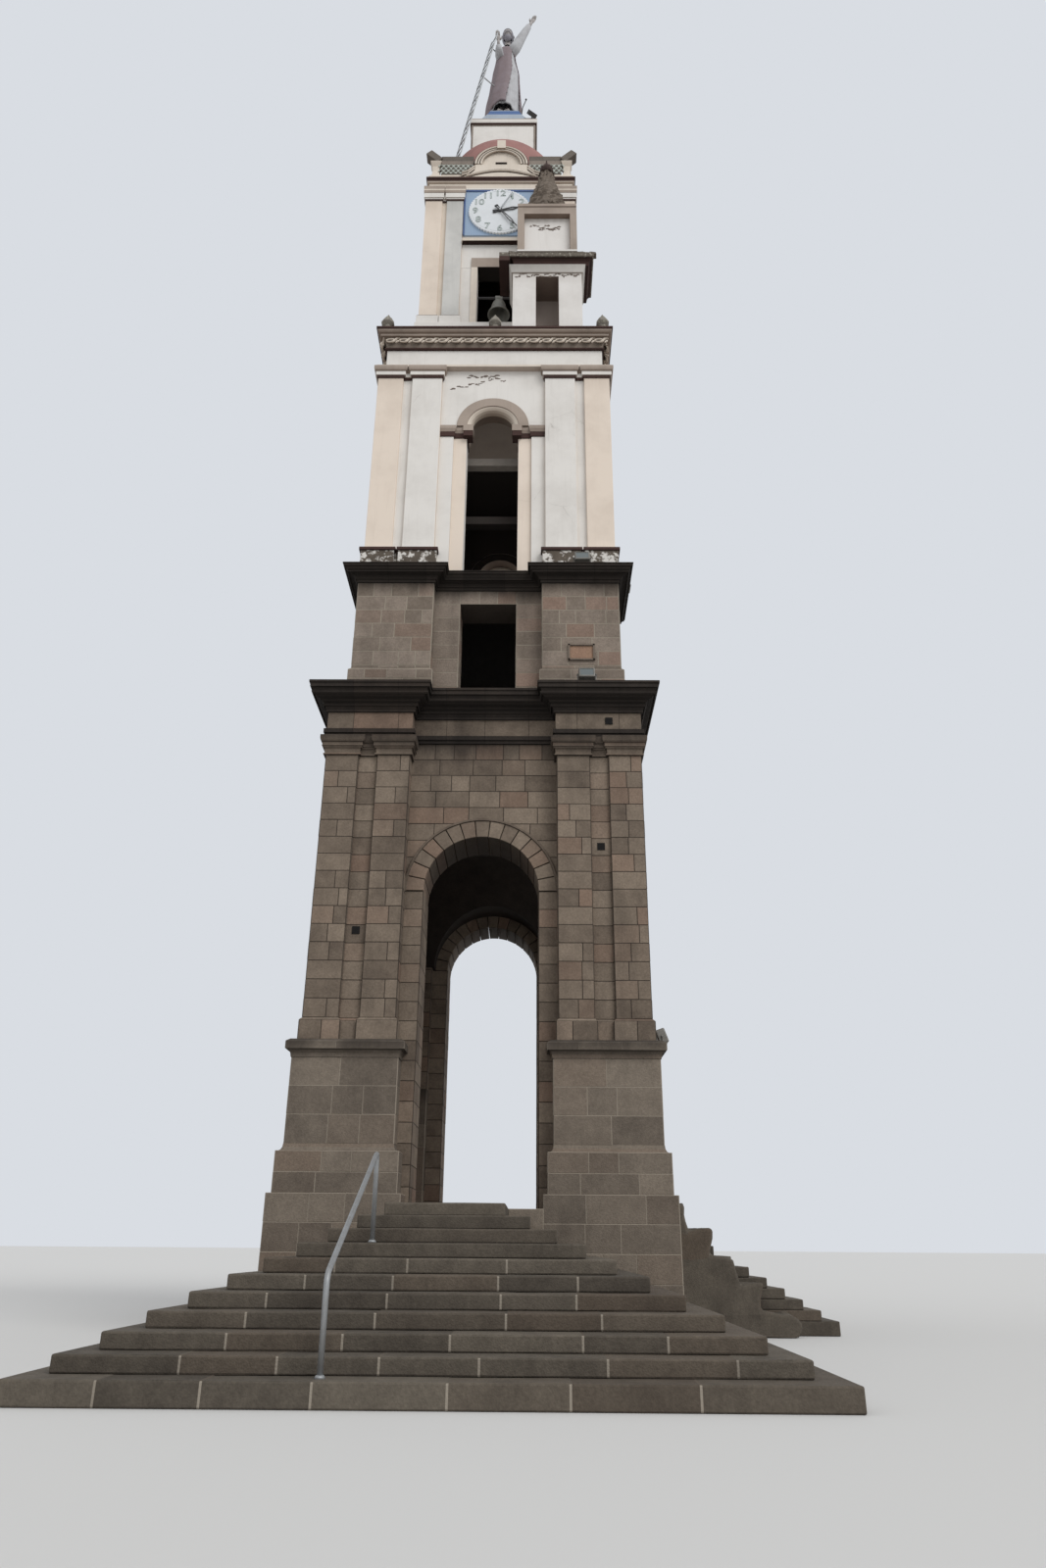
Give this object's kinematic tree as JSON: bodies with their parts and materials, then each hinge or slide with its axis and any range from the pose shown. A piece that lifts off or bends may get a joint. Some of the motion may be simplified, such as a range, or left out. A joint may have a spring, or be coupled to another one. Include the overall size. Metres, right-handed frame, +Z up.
{
  "type": "bell tower",
  "caption": "Church bell tower: open stone base with arches, stone attic, plastered belfry, clock stage, dome with statue, stairs.",
  "frame": {"origin": "on the ground under the middle of the whole footprint", "axes": "+Z up, -Y towards the near end stair, +X towards the square"},
  "size_m": [9.6, 20.36, 36.73],
  "materials": {
    "andesite": "dressed, weathered",
    "grey_stone": "rough, lichen stained",
    "plaster": "lime plaster, painted, stained",
    "panel_blue": "matt paint",
    "dial_white": "satin paint",
    "iron": "dark paint",
    "steel": "dull grey paint",
    "bell_bronze": "dull, oxidised",
    "timber": "weathered",
    "dome_red": "painted plaster, faded",
    "statue_paint": "painted, faded",
    "lamp_grey": "matt paint"
  },
  "bodies": {
    "tower": {"arch_jambs": "andesite", "arch_spandrels": "andesite", "arch_voussoirs": "andesite", "attic_cornice": "andesite", "attic_lintels_and_sills": "andesite", "attic_piers": "andesite", "attic_walls": "andesite", "belfry_archivolts": "plaster", "belfry_beams": "timber", "belfry_entablature": "plaster", "belfry_jambs": "plaster", "belfry_piers": "plaster", "belfry_spandrels": "plaster", "belfry_walls": "plaster", "bell_bar": "iron", "bell_floor": "plaster", "clock_cornice": "plaster", "clock_dials": "dial_white", "clock_panels": "panel_blue", "clock_piers": "plaster", "clock_plinth": "plaster", "clock_wall_heads": "plaster", "clock_walls": "plaster", "corner_scrolls": "plaster", "dome": "dome_red", "floodlights": "lamp_grey", "handrail": "steel", "ladder": "steel", "left_arch_infill": "andesite", "lower_entablature": "andesite", "other_clock_hands": "iron", "parapet_panels": "plaster", "parapet_pediments": "plaster", "passage_vault": "andesite", "pier_capitals": "andesite", "pier_pedestals": "andesite", "pier_shafts": "andesite", "podium": "andesite", "stair_cheeks": "andesite", "stair_slabs_even": "andesite", "stair_slabs_odd": "andesite", "statue": "statue_paint", "statue_base": "plaster", "statue_pedestal": "plaster", "terrace_finials": "grey_stone", "turret_cones": "grey_stone", "turrets": "plaster"},
    "minute_hand": {"minute_hand": "iron"},
    "hour_hand": {"hour_hand": "iron"},
    "bell": {"bell": "bell_bronze"}
  },
  "joints": [
    {"name": "minute_hand_turn", "type": "hinge", "parent": "tower", "child": "minute_hand", "pos_m": [0, -1.82, 25.52], "axis": [0, 1, 0], "continuous": true},
    {"name": "hour_hand_turn", "type": "hinge", "parent": "tower", "child": "hour_hand", "pos_m": [0, -1.82, 25.52], "axis": [0, 1, 0], "continuous": true},
    {"name": "bell_swing", "type": "hinge", "parent": "tower", "child": "bell", "pos_m": [0, -1.42, 22.95], "axis": [1, 0, 0], "range_deg": [-25, 25]}
  ],
  "couplings": [
    {"joint": "hour_hand_turn", "follows": "minute_hand_turn", "ratio": 0.083333}
  ]
}
